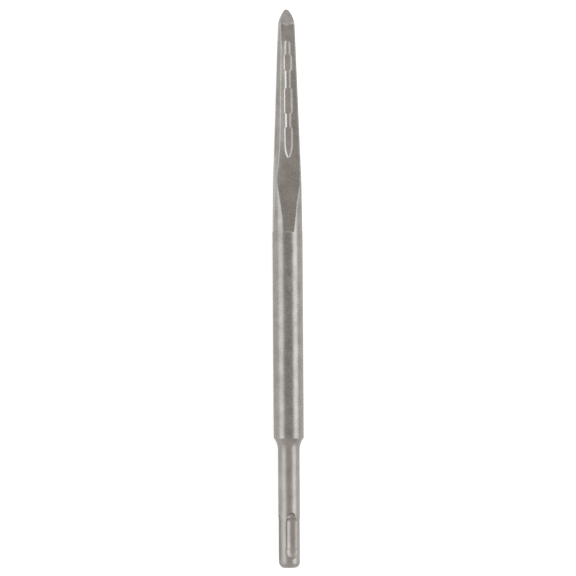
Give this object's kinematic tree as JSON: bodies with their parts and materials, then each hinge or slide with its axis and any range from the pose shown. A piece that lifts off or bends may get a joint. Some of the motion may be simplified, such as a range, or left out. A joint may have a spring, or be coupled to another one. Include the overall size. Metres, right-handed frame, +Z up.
{
  "type": "bull point chisel",
  "caption": "Square pointed chisel for breaking concrete and masonry, with a slotted shank for a rotary hammer.",
  "frame": {"origin": "centre of the flat end face of the shank", "axes": "+Y along the tool from the shank's end to the tip; +Z up, square to one face of the point, with the tool lying on its side"},
  "size_m": [0.014, 0.258, 0.014],
  "materials": {
    "forged_steel": "satin, forged and shot-blasted tool steel with a ground tip"
  },
  "bodies": {
    "root": {"chisel": "forged_steel"}
  },
  "joints": []
}
